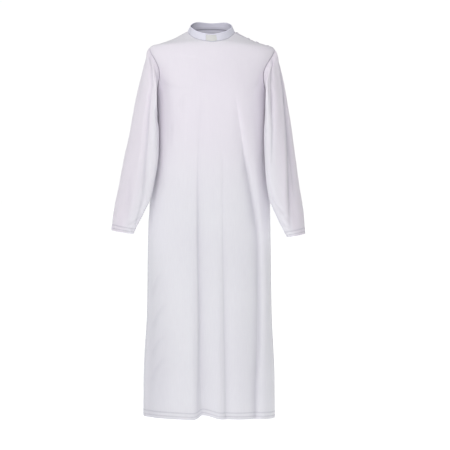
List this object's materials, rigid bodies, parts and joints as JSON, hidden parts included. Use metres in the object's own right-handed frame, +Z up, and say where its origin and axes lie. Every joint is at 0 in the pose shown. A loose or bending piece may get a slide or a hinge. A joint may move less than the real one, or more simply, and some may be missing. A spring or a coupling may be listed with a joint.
{
  "type": "cassock",
  "caption": "Long white pullover cassock in its worn hollow form, with set-in long sleeves, a stand collar holding a tab insert, and a buttoned left shoulder.",
  "frame": {"origin": "middle of the neck seam, level with its two points on the shoulders, where the wearer's shoulders carry the robe", "axes": "+Z up, the wearer faces -Y, +X to the wearer's left"},
  "size_m": [0.683, 0.246, 1.4271],
  "materials": {
    "robe_cloth": "plain woven polyester, matt with a slight sheen",
    "collar_cloth": "the same cloth over a stiff interlining",
    "tab": "smooth off-white plastic",
    "buttons": "glossy white plastic"
  },
  "bodies": {
    "root": {"front_panel": "robe_cloth", "back_panel": "robe_cloth", "sleeve_left": "robe_cloth", "sleeve_right": "robe_cloth", "collar": "collar_cloth", "collar_tab": "tab", "shoulder_placket": "robe_cloth", "button_1": "buttons", "button_2": "buttons", "button_3": "buttons", "button_4": "buttons"}
  },
  "joints": []
}
